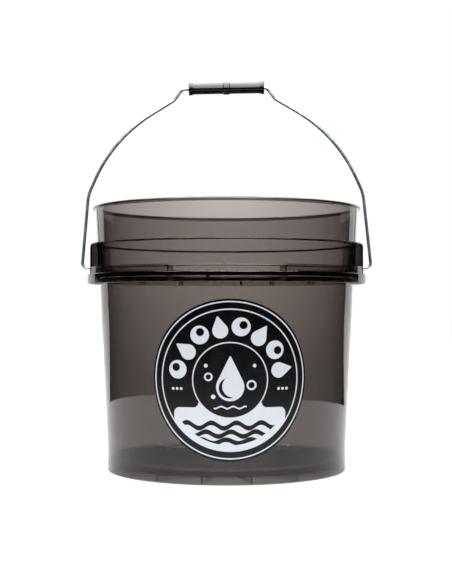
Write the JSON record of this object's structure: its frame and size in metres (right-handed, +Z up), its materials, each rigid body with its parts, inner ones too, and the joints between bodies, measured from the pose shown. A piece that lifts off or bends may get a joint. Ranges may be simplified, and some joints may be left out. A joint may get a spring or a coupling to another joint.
{
  "type": "wash bucket",
  "caption": "Round tapered translucent wash bucket with a collar, side ears, a swinging wire bail with a turning tube grip, and a round front label.",
  "frame": {"origin": "on the ground under the middle of the bucket, at the middle of the foot ring", "axes": "+Z up, the bail's pivots lie along X, the label faces -Y"},
  "size_m": [0.3336, 0.3168, 0.4425],
  "materials": {
    "smoke_plastic": "smoke-grey tinted clear polypropylene, glossy as moulded, with fine wash scuffs",
    "printed_vinyl": "black vinyl sticker printed in silver and white, semi-gloss",
    "zinc_wire": "zinc-plated drawn steel wire, satin with small bright streaks",
    "black_plastic": "black moulded plastic, glossy"
  },
  "bodies": {
    "bucket": {"bucket_body": "smoke_plastic", "front_label": "printed_vinyl"},
    "bail": {"bail_wire": "zinc_wire"},
    "grip": {"bail_grip": "black_plastic"}
  },
  "joints": [
    {"name": "bail_swing", "type": "hinge", "parent": "bucket", "child": "bail", "pos_m": [0, 0, 0.2285], "axis": [1, 0, 0], "range_deg": [-134, 134]},
    {"name": "grip_spin", "type": "hinge", "parent": "bail", "child": "grip", "pos_m": [-0.00017, 0, 0.43435], "axis": [0.9998, 0, 0.019], "continuous": true}
  ]
}
